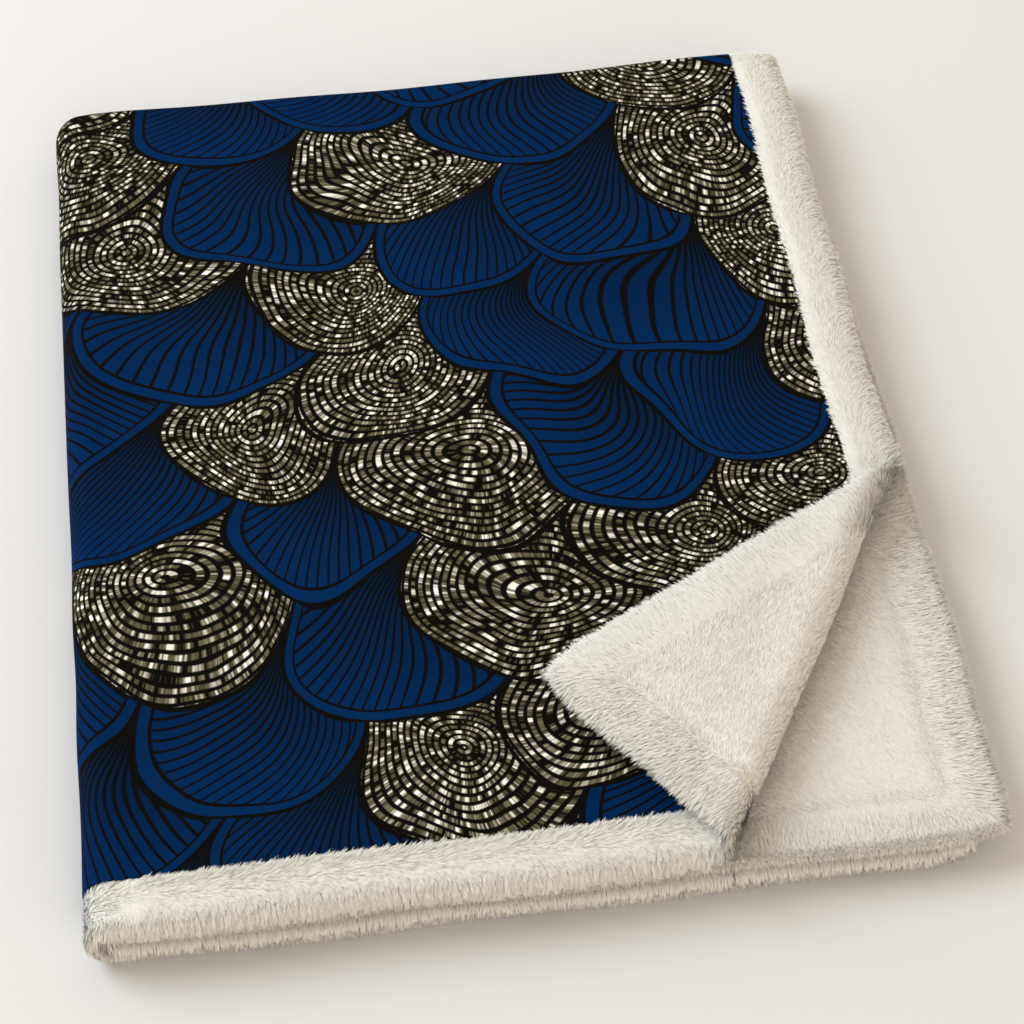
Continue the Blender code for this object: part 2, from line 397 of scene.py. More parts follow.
# The values that the scallops are drawn from, at every place of the cloth
def scallopValues(tree, place):
    size = scallopPrint["radius"]
    wander = addNode(
        tree, "ShaderNodeTexNoise",
        {"Vector": place, "Scale": scallopPrint["warpScale"], "Detail": 1.0, "Roughness": 0.4},
    )
    offset = addNode(
        tree, "ShaderNodeVectorMath", {0: wander.outputs["Color"], 1: (0.5, 0.5, 0.5)},
        operation="SUBTRACT",
    )
    moved = addNode(
        tree, "ShaderNodeVectorMath",
        {0: offset.outputs[0], 1: (scallopPrint["warp"] * 4,) * 3, 2: place}, operation="MULTIPLY_ADD",
    )
    scaled = addNode(
        tree, "ShaderNodeMapping",
        {
            "Vector": moved.outputs[0], "Location": scallopPrint["shift"],
            "Rotation": (0, 0, scallopPrint["turned"]), "Scale": (1 / size, 1 / size, 1),
        },
    )
    axes = addNode(tree, "ShaderNodeSeparateXYZ", {0: scaled.outputs[0]})
    ripple = addNode(
        tree, "ShaderNodeTexNoise",
        {"Vector": place, "Scale": scallopPrint["rippleScale"], "Detail": 1.0, "Roughness": 0.4},
    )
    rippleShare = scallopPrint["ripple"] / size
    wobble = mapRange(tree, ripple.outputs[0], (0, 1), (-rippleShare, rippleShare))
    known = {"u": axes.outputs[0], "v": axes.outputs[1], "wobble": wobble}
    tiling = [
        ("row", "FLOOR", "v"),
        ("height", "FRACT", "v"),
        ("odd", "FLOORED_MODULO", "row", 2),
        ("uEven", "SUBTRACT", "u", "odd"),
        ("uOdd", "ADD", "uEven", 1),
        ("nearX", "WRAP", "uEven", 1, -1),
        ("farX", "WRAP", "uOdd", 1, -1),
        ("nearX2", "MULTIPLY", "nearX", "nearX"),
        ("nearSum", "MULTIPLY_ADD", "height", "height", "nearX2"),
        ("nearRing", "SQRT", "nearSum"),
        ("inside", "LESS_THAN", "nearRing", 1),
        ("rimShare", "SUBTRACT", "nearRing", 1),
        ("rimAway", "ABSOLUTE", "rimShare"),
        ("xGap", "SUBTRACT", "nearX", "farX"),
        ("x", "MULTIPLY_ADD", "xGap", "inside", "farX"),
        ("y", "ADD", "height", "inside"),             # counted from the scallop's foot
        ("yMiddle", "SUBTRACT", "y", 1),
        ("footU", "SUBTRACT", "u", "x"),
        ("footV", "SUBTRACT", "v", "y"),
        ("cellU", "ROUND", "footU"),
        ("cellV", "ROUND", "footV"),
        ("cell", "MULTIPLY_ADD", "cellV", 37, "cellU"),            # a number of its own for each
        ("x2", "MULTIPLY", "x", "x"),
        ("footSum", "MULTIPLY_ADD", "y", "y", "x2"),
        ("reach", "SQRT", "footSum"),
        ("angle", "ARCTAN2", "x", "y"),
        ("ringSum", "MULTIPLY_ADD", "yMiddle", "yMiddle", "x2"),
        ("ring", "SQRT", "ringSum"),
        ("ringAngle", "ARCTAN2", "x", "yMiddle"),
    ]
    filling = [
        ("isBlue", "GREATER_THAN", "chance1", scallopPrint["hatchShare"]),
        ("side", "SUBTRACT", "chance2", 0.5),
        ("swirl", "MULTIPLY", "side", scallopPrint["swirl"]),
        ("swung", "MULTIPLY_ADD", "swirl", "reach", "angle"),      # ribs of a blue scallop
        ("ribs", "MULTIPLY", "swung", scallopPrint["ribs"]),
        ("rib", "PINGPONG", "ribs", 0.5),
        ("ribPitch", "MULTIPLY", "reach", size / scallopPrint["ribs"] / scallopPrint["ribWidth"]),
        ("ribFar", "MULTIPLY", "rib", "ribPitch"),
        ("onBand", "GREATER_THAN", "ring", scallopPrint["bandStart"]),
        ("ribAway", "ADD", "ribFar", "onBand"),
        ("bandGap", "SUBTRACT", "ring", scallopPrint["bandStart"]),
        ("bandFar", "ABSOLUTE", "bandGap"),
        ("bandAway", "MULTIPLY", "bandFar", size / scallopPrint["ribWidth"]),
        ("blueAway", "MINIMUM", "ribAway", "bandAway"),
        ("wavyRing", "ADD", "ring", "wobble"),                     # rings of a hatched scallop
        ("rings", "MULTIPLY", "wavyRing", size / scallopPrint["ringPitch"]),
        ("ringFar", "PINGPONG", "rings", 0.5),
        ("ringAway", "MULTIPLY", "ringFar", scallopPrint["ringPitch"] / scallopPrint["ringWidth"]),
        ("ringIndex", "FLOOR", "rings"),
        ("ringMiddle", "ADD", "ringIndex", 0.5),
        ("ringSpan", "MULTIPLY", "ringMiddle", scallopPrint["ringPitch"] / scallopPrint["dashLength"]),
        ("dashes", "MULTIPLY", "ringAngle", "ringSpan"),
        ("dashPlace", "MULTIPLY_ADD", "ringIndex", scallopPrint["dashShift"], "dashes"),
        ("ringChance", "MULTIPLY", "ringIndex", 7.31),             # takes rings apart in the noise
        ("awayGap", "SUBTRACT", "blueAway", "ringAway"),
        ("lineAway", "MULTIPLY_ADD", "awayGap", "isBlue", "ringAway"),
    ]
    addSteps(tree, "ShaderNodeMath", known, tiling)
    chance = addNode(tree, "ShaderNodeTexWhiteNoise", {"W": known["cell"]}, noise_dimensions="1D")
    parts = addNode(tree, "ShaderNodeSeparateColor", {0: chance.outputs["Color"]})
    known.update(chance1=parts.outputs[0], chance2=parts.outputs[1])
    addSteps(tree, "ShaderNodeMath", known, filling)
    return known


# The design's colours: dashes and ribs between inked lines
def printColour(tree, known):
    size = scallopPrint["radius"]
    dashSpot = addNode(
        tree, "ShaderNodeCombineXYZ",
        {0: known["dashPlace"], 1: known["ringChance"], 2: known["cell"]},
    )
    dashes = addNode(
        tree, "ShaderNodeTexNoise",
        {"Vector": dashSpot.outputs[0], "Scale": 1.0, "Detail": 2.0, "Roughness": 0.65},
    )
    hatch = addNode(tree, "ShaderNodeValToRGB", {0: dashes.outputs[0]})
    ramp = hatch.color_ramp
    ramp.elements[0].color = linear(scallopPrint["ink"])
    ramp.elements[1].color = linear(scallopPrint["cream"])
    ramp.elements[0].position, ramp.elements[1].position = scallopPrint["dashRange"]
    ramp.elements.new(sum(scallopPrint["dashRange"]) / 2).color = linear(scallopPrint["olive"])
    lightness = mapRange(tree, known["reach"], (0.3, 2.0))
    blue = mixColour(tree, lightness, linear(scallopPrint["blue"]), linear(scallopPrint["blueLight"]))
    ground = mixColour(tree, known["isBlue"], hatch.outputs[0], blue)
    outline = scallopPrint["outline"] / size
    known["line"] = mapRange(tree, known["lineAway"], (0.38, 0.62), (1, 0))
    known["rim"] = mapRange(tree, known["rimAway"], (outline * 0.8, outline * 1.2), (1, 0))
    addSteps(tree, "ShaderNodeMath", known, [("inked", "MAXIMUM", "line", "rim")])
    return mixColour(tree, known["inked"], ground, linear(scallopPrint["ink"]))


def printedCotton():
    material, tree = newMaterial("printed_cotton_poplin")
    place = addNode(tree, "ShaderNodeUVMap", uv_map="clothMap").outputs[0]
    colour = printColour(tree, scallopValues(tree, place))
    threads = addNode(
        tree, "ShaderNodeTexNoise",
        {"Vector": place, "Scale": 1 / scallopPrint["thread"], "Detail": 2.0, "Roughness": 0.6},
    )
    worn = mapRange(tree, threads.outputs[0], (0.3, 0.7), (0.78, 1.2))
    grained = addNode(
        tree, "ShaderNodeVectorMath", {0: colour, "Scale": worn}, operation="SCALE"
    )
    shader = addNode(
        tree, "ShaderNodeBsdfPrincipled",
        {
            "Base Color": grained.outputs[0], "Roughness": 0.85, "Specular IOR Level": 0.03,
            "Normal": bumpNormal(tree, threads.outputs[0], 0.35, 0.25 * mm),
        },
    )
    addNode(tree, "ShaderNodeOutputMaterial", {0: shader.outputs[0]})
    return material


# Plush pile: fine polyester fibre, knitted in and brushed up, soft and matt with a pale bloom
plushLook = {
    # the root is a little darker than the tip: painted shade deep in the pile
    "root": "#F1EDE3",
    "tip": "#FBF9F1",
    # the knitted ground is darker than the fibres: painted shade of the pile's depth
    "shadedKnit": "#E4DFD4",
    "through": 0.2,               # light that comes through a fibre
    "smooth": 0.94,               # how far a fibre is shaded as the ground that it lies on
    "grain": 1.3 * mm,
}


def plushPile():
    material, tree = newMaterial("brushed_polyester_plush")
    along = addNode(tree, "ShaderNodeAttribute", attribute_name="along")
    shade = addNode(tree, "ShaderNodeAttribute", attribute_name="shade")
    mixed = addNode(
        tree, "ShaderNodeMath", {0: shade.outputs["Fac"], 1: 0.2, 2: along.outputs["Fac"]},
        operation="MULTIPLY_ADD",
    )
    # Darker towards each fibre's root: painted shade deep in the pile, shifted a little at random by
    # each fibre's shade
    rootShadeFade = mapRange(tree, mixed.outputs[0], (0, 0.8))
    colour = mixColour(tree, rootShadeFade, linear(plushLook["root"]), linear(plushLook["tip"]))
    own = addNode(tree, "ShaderNodeNewGeometry").outputs["Normal"]
    ground = addNode(tree, "ShaderNodeAttribute", attribute_name="ground").outputs["Vector"]
    facing = addNode(
        tree, "ShaderNodeMix", {0: plushLook["smooth"], 4: own, 5: ground}, data_type="VECTOR"
    )
    normal = addNode(tree, "ShaderNodeVectorMath", {0: facing.outputs[1]}, operation="NORMALIZE")
    shader = addNode(
        tree, "ShaderNodeBsdfPrincipled",
        {
            "Base Color": colour, "Roughness": 0.9, "Specular IOR Level": 0.2,
            "Sheen Weight": 0.25, "Sheen Roughness": 0.4, "Normal": normal.outputs[0],
        },
    )
    glow = addNode(tree, "ShaderNodeBsdfTranslucent", {"Color": colour})
    both = addNode(
        tree, "ShaderNodeMixShader",
        {0: plushLook["through"], 1: shader.outputs[0], 2: glow.outputs[0]},
    )
    addNode(tree, "ShaderNodeOutputMaterial", {0: both.outputs[0]})
    return material


def plushKnit():
    material, tree = newMaterial("knitted_plush_ground")
    place = addNode(tree, "ShaderNodeTexCoord").outputs["Object"]
    grain = addNode(
        tree, "ShaderNodeTexNoise",
        {"Vector": place, "Scale": 1 / plushLook["grain"], "Detail": 2.0},
    )
    # Random grain between two tones; the darker tone is painted shade of the pile's depth
    colour = mixColour(tree, grain.outputs[0], linear(plushLook["root"]), linear(plushLook["shadedKnit"]))
    shader = addNode(
        tree, "ShaderNodeBsdfPrincipled",
        {
            "Base Color": colour, "Roughness": 0.95, "Specular IOR Level": 0.15,
            "Sheen Weight": 0.2, "Sheen Roughness": 0.4,
            "Normal": bumpNormal(tree, grain.outputs[0], 0.5, 0.5 * mm),
        },
    )
    addNode(tree, "ShaderNodeOutputMaterial", {0: shader.outputs[0]})
    return material


# Camera at the photograph's angle, soft daylight from the upper left, pale ground
studio = {
    "cameraPlace": (-0.0931, -0.8381, 0.9455),
    "lookDown": 49.35,            # degrees
    "lookTurn": 7.35,
    "roll": -0.53,
    "focalPixels": 2627.0,
    "imagePixels": 1024.0,
    "sensor": 36.0,
    "keyFrom": (-2.7, 1.4, 2.4),
    "keySize": 3.0,
    "keyPower": 134.0,
    "keyColour": "#E6F0FF",
    "skyColour": "#FFF3E0",
    "skyStrength": 0.70,
    "fillFrom": (0.5, -2.8, 1.2),     # weak even light from the front
    "fillSpread": 46.0,           # degrees
    "fillPower": 0.9,             # watts by square metre
    "fillColour": "#FFF3E4",
    "floorColour": "#DCDCDB",
    "floorSize": 16.0,
    "floorGrain": 900.0,          # by metre
}


def placeCamera(scene):
    down, turned, roll = (math.radians(studio[key]) for key in ("lookDown", "lookTurn", "roll"))
    forward = Vector((
        math.sin(turned) * math.cos(down), math.cos(turned) * math.cos(down), -math.sin(down)
    ))
    right = Vector((math.cos(turned), -math.sin(turned), 0))
    right = right * math.cos(roll) + right.cross(forward) * math.sin(roll)
    pose = Matrix((right, right.cross(forward), -forward)).transposed().to_4x4()
    pose.translation = studio["cameraPlace"]
    lens = bpy.data.cameras.new("camera")
    lens.sensor_width = studio["sensor"]
    lens.lens = studio["focalPixels"] / studio["imagePixels"] * studio["sensor"]
    lens.clip_start, lens.clip_end = 0.05, 50
    camera = bpy.data.objects.new("camera", lens)
    camera.matrix_world = pose
    scene.collection.objects.link(camera)
    scene.camera = camera
def placeLights(scene):
    key = bpy.data.lights.new("window", "AREA")
    key.shape, key.size = "DISK", studio["keySize"]
    fill = bpy.data.lights.new("front_light", "SUN")
    fill.angle = math.radians(studio["fillSpread"])
    for part, light in (("key", key), ("fill", fill)):
        light.energy = studio[part + "Power"]
        light.color = linear(studio[part + "Colour"])[:3]
        lamp = bpy.data.objects.new(light.name, light)
        lamp.location = studio[part + "From"]
        lamp.rotation_euler = (-lamp.location).to_track_quat("-Z", "Y").to_euler()
        scene.collection.objects.link(lamp)

    world = bpy.data.worlds.new("daylight")
    world.use_nodes = True
    sky = world.node_tree.nodes["Background"]
    sky.inputs["Color"].default_value = linear(studio["skyColour"])
    sky.inputs["Strength"].default_value = studio["skyStrength"]
    scene.world = world
    scene.view_settings.view_transform = "Standard"


def layFloor(scene):
    mesh = bpy.data.meshes.new("floor")
    edge = studio["floorSize"] / 2
    mesh.from_pydata(
        [(-edge, -edge, 0), (edge, -edge, 0), (edge, edge, 0), (-edge, edge, 0)], [], [(0, 1, 2, 3)]
    )
    material, tree = newMaterial("matt_paint")
    grain = addNode(
        tree, "ShaderNodeTexNoise",
        {"Vector": addNode(tree, "ShaderNodeTexCoord").outputs["Object"], "Scale": studio["floorGrain"]},
    )
    shader = addNode(
        tree, "ShaderNodeBsdfPrincipled",
        {
            "Base Color": linear(studio["floorColour"]), "Roughness": 0.85,
            "Specular IOR Level": 0.2,
            "Normal": bumpNormal(tree, grain.outputs[0], 0.1, 0.2 * mm),
        },
    )
    addNode(tree, "ShaderNodeOutputMaterial", {0: shader.outputs[0]})
    mesh.materials.append(material)
    floor = bpy.data.objects.new("floor", mesh)
    scene.collection.objects.link(floor)


# The printed panel: thin cotton that lies in the backing and puckers a little at its seam
panelSizes = {
    "clear": 0.3 * mm,            # from the turned border
    "high": 3.0 * mm,             # level of its printed face
    "thick": 0.9 * mm,
    "pucker": 0.22 * mm,
    "puckerLength": 19.0 * mm,
    "puckerSway": 31.0,           # by metre, so the puckers aren't even
    "puckerReach": 26.0 * mm,
    "ease": 0.28 * mm,            # slack of the cloth over its middle
    "easeLength": 83.0 * mm,
    "easeWay": (0.8, 0.6),
    "easeSway": 17.0,
}


def makePanel(material):
    inset = cloth["border"] + panelSizes["clear"]
    flat, faces = flatGrid(inset, layout["panelInsets"])
    s, t = flat[:, 0], flat[:, 1]
    distance = edgeDistance(s, t) - inset
    sInset, tInset = edgeInsets(s, t)
    along = np.where(sInset < tInset, t, s)
    sway = 2 * np.sin(along * panelSizes["puckerSway"])
    pucker = np.sin(2 * np.pi * along / panelSizes["puckerLength"] + sway)
    pucker = pucker * panelSizes["pucker"] * softStep(1 - distance / panelSizes["puckerReach"])
    easeS, easeT = panelSizes["easeWay"]
    sway = 3 * np.sin(t * panelSizes["easeSway"])
    ease = np.sin(2 * np.pi * (s * easeS + t * easeT) / panelSizes["easeLength"] + sway)
    lift = pucker + panelSizes["ease"] * ease * softStep(distance / panelSizes["puckerReach"])
    high = panelSizes["high"] + lift
    return closedSheet("printed_panel", flat, faces, high - panelSizes["thick"], high, material)


# The plush backing without its pile
coreSizes = {
    "inset": 1.6 * mm,            # the pile makes up for it
    "thick": 1.9 * mm,            # half the core of a border
    "trough": 0.7 * mm,           # crease where the turned border is sewn through
    "troughAt": 24.0 * mm,
    "troughWidth": 4.2 * mm,
    "edgeSlack": 0.1 * mm,        # so that the line along the border's inner edge counts too
    "unevenness": 0.35 * mm,      # small swells of the plush side
    "unevenFade": 20.0 * mm,
    "swells": {"s": 97.0, "t": 83.0, "swayS": 41.0, "swayT": 53.0},      # radians by metre
    "rows": [                     # share of the thickness, by distance from the core's edge
        {"inset": 0.0 * mm, "share": 0.10},
        {"inset": 0.5 * mm, "share": 0.58},
        {"inset": 1.6 * mm, "share": 0.86},
        {"inset": 3.9 * mm, "share": 0.98},
        {"inset": 7.4 * mm, "share": 1.00},
    ],
    "loftRows": [
        {"inset": 0.0 * mm, "loft": 0.0},
        {"inset": 1.6 * mm, "loft": 0.4},
        {"inset": 7.4 * mm, "loft": 1.0},
        {"inset": 18.4 * mm, "loft": 0.95},
        {"inset": 21.9 * mm, "loft": 0.0},
    ],
}


def makeCore(material):
    flat, faces = flatGrid(coreSizes["inset"], layout["coreInsets"])
    s, t = flat[:, 0], flat[:, 1]
    inside = edgeDistance(s, t) - coreSizes["inset"]
    share = readRows(coreSizes["rows"], "inset", "share", inside)
    loft = softStep((s - sideArc) / cloth["loftFade"]) * softStep((t - backArc) / cloth["loftFade"])
    loft = loft * cloth["loft"] * readRows(coreSizes["loftRows"], "inset", "loft", inside)
    high = coreSizes["thick"] * share + loft
    trayEdge = cloth["border"] - coreSizes["inset"]
    high = np.where(inside > trayEdge - coreSizes["edgeSlack"], cloth["plush"] - half, high)
    sewn = inside + coreSizes["inset"] - coreSizes["troughAt"]
    crease = np.exp(-(sewn / coreSizes["troughWidth"]) ** 2)
    swells = coreSizes["swells"]
    swellS = np.sin(s * swells["s"] + 2 * np.sin(t * swells["swayS"]))
    swellT = np.sin(t * swells["t"] + 1.5 * np.sin(s * swells["swayT"]))
    low = -coreSizes["thick"] * share + coreSizes["trough"] * crease
    low = low + coreSizes["unevenness"] * swellS * swellT * softStep(inside / coreSizes["unevenFade"])
    core = closedSheet("plush_backing", flat, faces, low, high, material)
    storePile(core, s, t, low, high)
    return core


# Pile: which way it is brushed, how long it is and where it grows
pileSizes = {
    "borderCover": 21.8 * mm,     # its pile leans over the print from there
    "borderLength": 4.8 * mm,
    "printLength": 4.3 * mm,      # where the border ends over the print
    "shortLength": 3.4 * mm,
    "rims": {                     # from the uppermost to the lowest layer
        "length": (5.4 * mm, 3.6 * mm, 5.4 * mm, 3.4 * mm),
        "fall": (1.1, 0.0, 1.2, 0.2),
    },
    "lift": 0.15,                 # how steeply the pile stands, against its lean
    "borderLift": 0.26,
    "rimLift": 0.5,
    "rimUp": 1.4,                 # how far up a rim's fibres are shaded
    "lowRimUp": 0.4,
    "rollLean": (0.5, -0.1),      # where the cloth turns back the pile leans out and down
    "rollFlat": 0.75,
    "besideRoll": 0.4,            # the pile that it lies on stands up beside it
    "rollUp": 1.6,
    "rollOut": 0.5,
    "creaseLift": 0.12,
    "flapFall": 0.25,
    "lay": (0.55, -0.85),         # which way the plush is brushed inside its borders
    "parting": 1.85,              # how far the border's pile turns inwards, 2 for quite round
    "cornerBlend": 3.0 * mm,      # how sharply the way outwards turns at a corner
    "groups": {
        "front_border_pile": {"count": 78000, "width": 0.49 * mm, "lock": 2.2 * mm, "seed": 11},
        "right_border_pile": {"count": 78000, "width": 0.49 * mm, "lock": 2.2 * mm, "seed": 12},
        "turned_corner_pile": {"count": 93000, "width": 0.39 * mm, "lock": 1.6 * mm, "seed": 13},
        "second_layer_pile": {"count": 81000, "width": 0.39 * mm, "lock": 1.6 * mm, "seed": 14},
        "lower_edge_pile": {"count": 77000, "width": 0.49 * mm, "lock": 2.0 * mm, "seed": 15},
    },
    "gather": 0.2,                # how far a lock's fibres lean to its middle
    "loose": 0.06,
    "eddy": 0.7,                  # slow change of direction
    "eddyScale": 55.0,            # by metre
    "lockTilt": 0.1,
    "spin": (-0.7, 0.7),          # radians, about the fibre's own line
    "vary": (0.72, 1.12),         # share of the length, by fibre
    "lockVary": (0.35, 0.82),     # the same by lock: its spread and its least share
}

# Where a zone of the pile starts or ends, and over which width it fades: the first ones
# counted inwards from the cloth's edge, the others forwards past the start of the turn
pileZones = {
    "rim": (6.5 * mm, 3.0 * mm),
    "wideRim": (11.0 * mm, 4.0 * mm),
    "parting": (5.0 * mm, 19.0 * mm),
    "borderNap": (25.0 * mm, 3.0 * mm),
    "rounded": (7.0 * mm, 5.0 * mm),
    "fall": (5.5 * mm, 4.5 * mm),
    "rimPile": (8.0 * mm, 4.0 * mm),
    "printPile": (15.0 * mm, 6.0 * mm),
    "borderPile": (24.0 * mm, 7.0 * mm),
    "crease": (coreSizes["troughAt"], 4.0 * mm),
    "rollStart": (-14.0 * mm, 8.0 * mm),
    "rollEnd": (turnArc + 4.0 * mm, 15.0 * mm),
    "underRoll": (-12.0 * mm, 8.0 * mm),
    "besideStart": (-9.0 * mm, 6.0 * mm),
    "besideEnd": (15.0 * mm, 7.0 * mm),
}
flapFrom = {"upper": 2.0 * mm, "lower": pileZones["rollStart"][0]}      # past the start of the turn
stride = 0.5 * mm                 # between the two points that a direction is taken from
tiny = 1e-9                       # keeps a division by a length of nothing away


def fadeIn(value, zone):
    start, width = pileZones[zone]
    return softStep((value - start) / width)


def fadeOut(value, zone):
    end, width = pileZones[zone]
    return softStep((end - value) / width)


def unit(vectors):
    return vectors / (np.linalg.norm(vectors, axis=1)[:, None] + tiny)


# Zones of the cloth that its pile follows, at every flat point
def clothZones(s, t):
    edges = (sRight - s, s - sLeft, tFront - t, t - tUnder)
    right, left, front, under = (1 / (edge + pileSizes["cornerBlend"]) ** 2 for edge in edges)
    outS, outT = right - left, front - under
    size = np.hypot(outS, outT) + tiny
    placeS, placeT = flatPlace(s, t)
    past = acrossTurn(sideAxis + np.abs(placeS) - sideArc, backAxis - np.abs(placeT) + backArc)
    past = past - turn["start"]
    top, below = (s > sideArc) & (t > backArc), (s > sideArc) & (t < -backArc)
    return SimpleNamespace(
        s=s, t=t, inset=edgeDistance(s, t), past=past, top=top, below=below,
        out=(outS / size, outT / size),
        onFold=(np.abs(s) <= sideArc) & (t > 0) | (np.abs(t) <= backArc),
        onFlap=top & (past > 0),
        nearFront=(tFront - t) < (sRight - s),
        rolled=top * fadeIn(past, "rollStart") * fadeOut(past, "rollEnd"),
        beside=below * fadeIn(past, "besideStart") * fadeOut(past, "besideEnd"),
    )


# A rim's value in each of the four layers
def byLayer(values, zone):
    uppermost, second, third, lowest = values
    under = softStep(0.5 - zone.s / (2 * sideArc))           # 0 on the upper pair, 1 on the lower
    return np.where(zone.t > 0, blend(uppermost, lowest, under), blend(second, third, under))


# How thickly the pile stands on the printed side and on the plush side
def pileCover(zone):
    rim = fadeOut(zone.inset, "rim")
    border = zone.inset < pileSizes["borderCover"]
    upper = np.where(border & ((zone.top & (zone.past < turnArc)) | zone.onFold), 1.0, rim)
    lower = np.where(zone.top & (zone.past > flapFrom["lower"]), 1.0, rim)
    bared = np.maximum(fadeIn(zone.past, "underRoll"), fadeOut(zone.inset, "wideRim"))
    return {"upper": upper, "lower": np.where(zone.below, bared, lower)}


# Which group of pile a place belongs to
def groupPlaces(zone, side):
    flap = zone.past > flapFrom[side]
    return {
        "front_border_pile": zone.top & ~flap & zone.nearFront,
        "right_border_pile": zone.top & ~flap & ~zone.nearFront,
        "turned_corner_pile": zone.top & flap,
        "second_layer_pile": zone.below,
        "lower_edge_pile": ~zone.top & ~zone.below,
    }


def alongCloth(zone, moveS, moveT, level):
    ahead = foldCloth(zone.s + moveS, zone.t + moveT, level)
    return ahead - foldCloth(zone.s - moveS, zone.t - moveT, level)


# Which way the pile is brushed. On the printed side the border's pile parts: outwards at
# the rim, inwards over the print
def pileNap(zone, levels):
    outS, outT = zone.out
    parting = 1 - pileSizes["parting"] * fadeIn(zone.inset, "parting")
    aside = np.sqrt(1 - parting ** 2 * 0.999)                # never the root of less than nothing
    inBorder = fadeOut(zone.inset, "borderNap")
    layS, layT = pileSizes["lay"]
    flatNap = {
        "upper": (outS * parting + outT * aside, outT * parting - outS * aside),
        "lower": (outS * inBorder + layS * (1 - inBorder), outT * inBorder + layT * (1 - inBorder)),
    }
    fall = np.where(zone.onFlap, pileSizes["flapFall"], byLayer(pileSizes["rims"]["fall"], zone))
    naps = {}
    for side, (napS, napT) in flatNap.items():
        size = np.hypot(napS, napT) + tiny
        nap = alongCloth(zone, stride * napS / size, stride * napT / size, levels[side])
        nap *= (np.minimum(size, 1) / (np.linalg.norm(nap, axis=1) + tiny))[:, None]
        nap[:, 2] -= fall * fadeOut(zone.inset, "fall")
        naps[side] = nap
    out, down = pileSizes["rollLean"]
    naps["lower"] += zone.rolled[:, None] * np.array([(out * turnSine, -out * turnCosine, down)])
    return np.concatenate([naps["upper"], naps["lower"]])


# A fibre is shaded as its ground; at the rims, as the rounded edge of the layer
def pileFacing(mesh, zone):
    facing = np.zeros(len(mesh.vertices) * 3, dtype=np.float32)
    mesh.vertices.foreach_get("normal", facing)
    facing = facing.reshape(-1, 3)
    outward = unit(alongCloth(zone, stride * zone.out[0], stride * zone.out[1], 0 * zone.s))
    upperPair = zone.s > -sideArc / 2
    outward[:, 2] += np.where(upperPair, pileSizes["rimUp"], pileSizes["lowRimUp"])
    rounded = fadeOut(zone.inset, "rounded")[:, None] * np.ones((1, 3))
    facing = facing * (1 - np.tile(rounded, (2, 1))) + np.tile(outward * rounded, (2, 1))
    out, up = pileSizes["rollOut"], pileSizes["rollUp"]
    rollFacing = np.array([(out * turnSine, -out * turnCosine, up)])
    facing[len(zone.s):] += zone.rolled[:, None] * rollFacing
    return unit(facing)


# Length of the pile, and how steeply it stands
def pileStand(zone):
    atRim = fadeOut(zone.inset, "rimPile")
    nearBorder = fadeOut(zone.inset, "borderPile")
    rimLength = byLayer(pileSizes["rims"]["length"], zone)
    borderLength = pileSizes["borderLength"]
    upper = blend(borderLength, pileSizes["printLength"], fadeIn(zone.inset, "printPile"))
    lower = blend(pileSizes["shortLength"], borderLength, nearBorder)
    length = np.concatenate([blend(upper, rimLength, atRim), blend(lower, rimLength, atRim)])

    creaseAt, creaseWidth = pileZones["crease"]
    creased = np.exp(-((zone.inset - creaseAt) / creaseWidth) ** 2)
    upper = pileSizes["borderLift"] + np.where(zone.top, 0, pileSizes["rimLift"]) * atRim
    lower = blend(pileSizes["lift"], pileSizes["borderLift"], nearBorder)
    lower = lower + pileSizes["creaseLift"] * creased + pileSizes["besideRoll"] * zone.beside
    lower = lower + np.where(zone.onFlap, 0, pileSizes["rimLift"]) * atRim
    return length, np.concatenate([upper, lower * (1 - pileSizes["rollFlat"] * zone.rolled)])


# Stores, on the core's points, the pile's direction, length and cover
def storePile(core, s, t, low, high):
    zone = clothZones(s, t)
    cover = pileCover(zone)
    length, lift = pileStand(zone)
    layers = {
        "facing": pileFacing(core.data, zone),
        "nap": pileNap(zone, {"upper": high, "lower": low}),
        "pileLength": length,
        "pileLift": lift,
    }
    places = {side: groupPlaces(zone, side) for side in cover}
    for name in pileSizes["groups"]:
        layers["cover_" + name] = np.concatenate([places[side][name] * cover[side] for side in cover])
    for name, values in layers.items():
        kind, field = ("FLOAT_VECTOR", "vector") if values.ndim == 2 else ("FLOAT", "value")
        attribute = core.data.attributes.new(name, kind, "POINT")
        attribute.data.foreach_set(field, values.astype(np.float32).ravel())


# One lock of pile: a narrow leaf of unit length that bends over to its tip
def makeStrand(name, material):
    rows = [(0.0, 0.0, 0.0), (0.42, 0.5, -0.01), (1.0, 0.0, -0.13)]        # along, half width, bend
    points, alongs = [], []
    for along, halfWidth, bend in rows:
        for side in ((-1, 1) if halfWidth else (0,)):
            points.append((bend, side * halfWidth, along))
            alongs.append(along)
    mesh = bpy.data.meshes.new(name)
    mesh.from_pydata(points, [], [(0, 2, 1), (1, 2, 3)])
    mesh.shade_smooth()
    mesh.materials.append(material)
    mesh.attributes.new("along", "FLOAT", "POINT").data.foreach_set("value", alongs)
    strand = bpy.data.objects.new(name, mesh)
    bpy.context.collection.objects.link(strand)
    return strand


